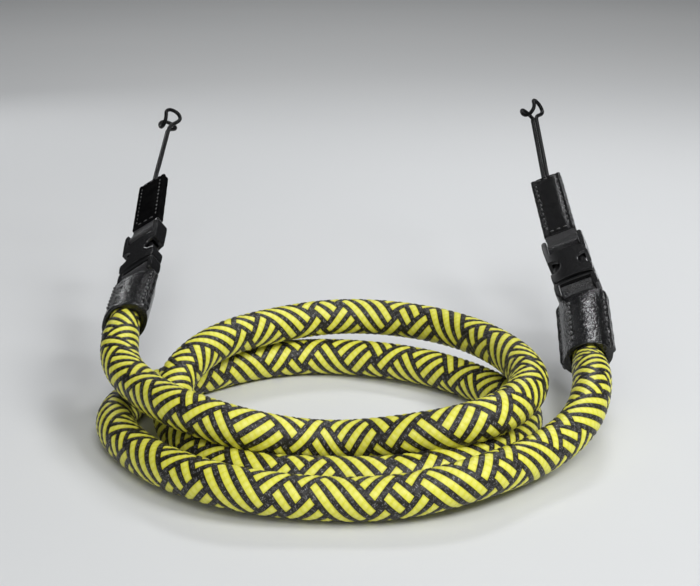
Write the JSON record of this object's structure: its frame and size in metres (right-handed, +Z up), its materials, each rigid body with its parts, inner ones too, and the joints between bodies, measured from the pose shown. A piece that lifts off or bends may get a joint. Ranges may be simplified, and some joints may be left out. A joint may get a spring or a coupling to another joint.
{
  "type": "camera strap",
  "caption": "Braided rope camera strap lying in loops, with leather sleeves and tabs, side-release buckles and thin cord loops at both ends.",
  "frame": {"origin": "the middle of the left cord loop's hitch, which goes round an eye there; the rope's underside lies 52 mm below it", "axes": "+Z up, +X from the left hitch towards the right one, +Y away from the viewer, from the rope's loops towards the hitches"},
  "size_m": [0.1411, 0.2194, 0.0597],
  "materials": {
    "braid": "round braid of satin lemon-yellow and charcoal flat yarns",
    "thin_cord": "matte black braided thin cord",
    "leather": "black grained leather with a soft sheen, sewn in black",
    "buckle_plastic": "satin black moulded plastic"
  },
  "bodies": {
    "root": {"rope": "braid", "left_cord_loop": "thin_cord", "left_tab": "leather", "left_upper_strip": "leather", "left_buckle_socket": "buckle_plastic", "left_buckle_plug": "buckle_plastic", "left_lower_strip": "leather", "left_sleeve": "leather", "right_cord_loop": "thin_cord", "right_tab": "leather", "right_upper_strip": "leather", "right_buckle_socket": "buckle_plastic", "right_buckle_plug": "buckle_plastic", "right_lower_strip": "leather", "right_sleeve": "leather"}
  },
  "joints": []
}
